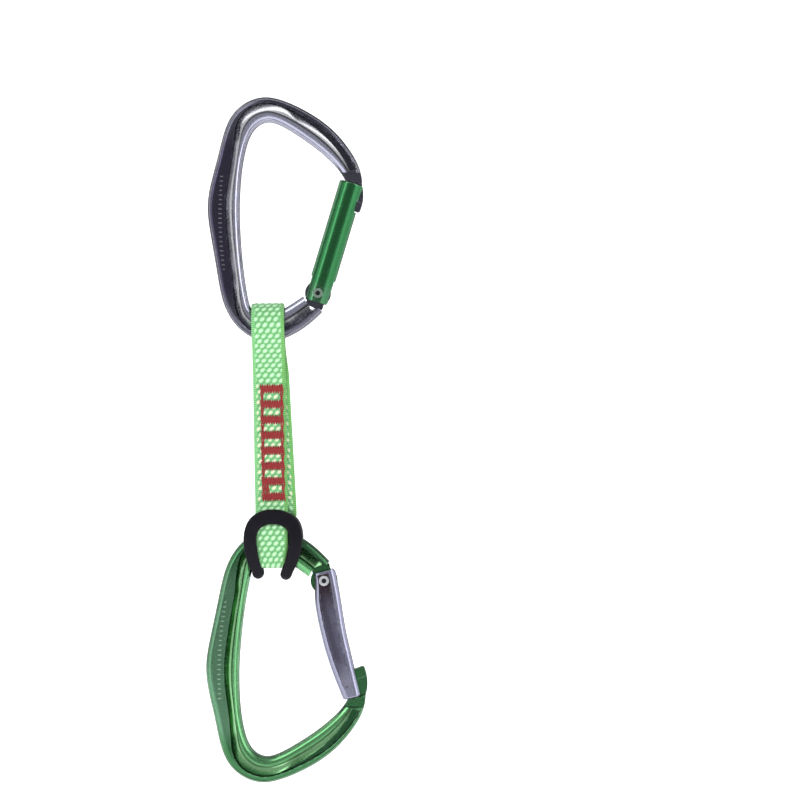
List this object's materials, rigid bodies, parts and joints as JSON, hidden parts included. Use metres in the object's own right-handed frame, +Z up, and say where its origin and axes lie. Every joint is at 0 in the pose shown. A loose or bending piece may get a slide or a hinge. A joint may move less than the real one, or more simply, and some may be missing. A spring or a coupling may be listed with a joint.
{
  "type": "climbing quickdraw",
  "caption": "Two keylock snap carabiners, one straight-gated and one bent-gated, joined by a short sewn webbing sling with a rubber keeper on the rope end.",
  "frame": {"origin": "seat of the upper carabiner, where it rests on its hanger", "axes": "+Z up along the hanging quickdraw, +X towards the gates, front face towards -Y"},
  "size_m": [0.066, 0.0188, 0.2804],
  "materials": {
    "body_grey": "satin anodised",
    "body_green": "satin anodised",
    "gate_green": "satin anodised",
    "gate_grey": "satin anodised",
    "rivet": "peened",
    "spring": "bright",
    "webbing": "woven",
    "thread": "bar-tacked thread",
    "keeper": "moulded"
  },
  "bodies": {
    "upper_carabiner": {"upper_body": "body_grey", "upper_gate_rivet": "rivet"},
    "upper_gate": {"upper_gate": "gate_green", "upper_gate_spring": "spring"},
    "upper_plunger": {"upper_gate_plunger": "rivet"},
    "top_loop": {"sling_top_loop": "webbing"},
    "upper_strap": {"sling_upper_strap": "webbing", "bar_tack_1": "thread", "bar_tack_2": "thread", "bar_tack_3": "thread", "bar_tack_4": "thread"},
    "lower_strap": {"sling_lower_strap": "webbing", "bar_tack_5": "thread", "bar_tack_6": "thread", "bar_tack_7": "thread", "bar_tack_8": "thread"},
    "lower_carabiner": {"lower_body": "body_green", "lower_gate_rivet": "rivet", "sling_bottom_loop": "webbing", "keeper": "keeper"},
    "lower_gate": {"lower_gate": "gate_grey", "lower_gate_spring": "spring"},
    "lower_plunger": {"lower_gate_plunger": "rivet"}
  },
  "joints": [
    {"name": "upper_gate_hinge", "type": "hinge", "parent": "upper_carabiner", "child": "upper_gate", "pos_m": [0.0197, 0, -0.0702], "axis": [0, -1, 0], "range_deg": [0, 28], "stiffness_Nm_per_rad": 0.25, "springref_deg": -28.65},
    {"name": "upper_plunger_slide", "type": "slide", "parent": "upper_gate", "child": "upper_plunger", "axis": [0.289, 0, 0.9573], "range_m": [0, 0.0018], "deforming": ["upper_gate_spring"]},
    {"name": "top_loop_swing", "type": "hinge", "parent": "upper_carabiner", "child": "top_loop", "pos_m": [-0.00064, 0, -0.08325], "axis": [0.9998, 0, 0.018], "range_deg": [-80, 80]},
    {"name": "upper_strap_flex", "type": "hinge", "parent": "top_loop", "child": "upper_strap", "pos_m": [-0.00029, 0, -0.10225], "axis": [0.9998, 0, 0.018], "range_deg": [-50, 50], "stiffness_Nm_per_rad": 0.02},
    {"name": "strap_twist", "type": "hinge", "parent": "upper_strap", "child": "lower_strap", "pos_m": [0.00023, 0, -0.13134], "axis": [-0.018, 0, 0.9998], "range_deg": [-60, 60], "stiffness_Nm_per_rad": 0.03},
    {"name": "lower_strap_flex", "type": "hinge", "parent": "lower_strap", "child": "lower_carabiner", "pos_m": [0.00069, 0, -0.15699], "axis": [0.9998, 0, 0.018], "range_deg": [-50, 50], "stiffness_Nm_per_rad": 0.02},
    {"name": "lower_gate_hinge", "type": "hinge", "parent": "lower_carabiner", "child": "lower_gate", "pos_m": [0.0222, 0, -0.18784], "axis": [0, 1, 0], "range_deg": [0, 28], "stiffness_Nm_per_rad": 0.25, "springref_deg": -28.65},
    {"name": "lower_plunger_slide", "type": "slide", "parent": "lower_gate", "child": "lower_plunger", "axis": [0.2538, 0, -0.9673], "range_m": [0, 0.0018], "deforming": ["lower_gate_spring"]}
  ],
  "couplings": [
    {"joint": "upper_plunger_slide", "follows": "upper_gate_hinge", "m_per_rad": 0.0034},
    {"joint": "lower_plunger_slide", "follows": "lower_gate_hinge", "m_per_rad": 0.003536}
  ]
}
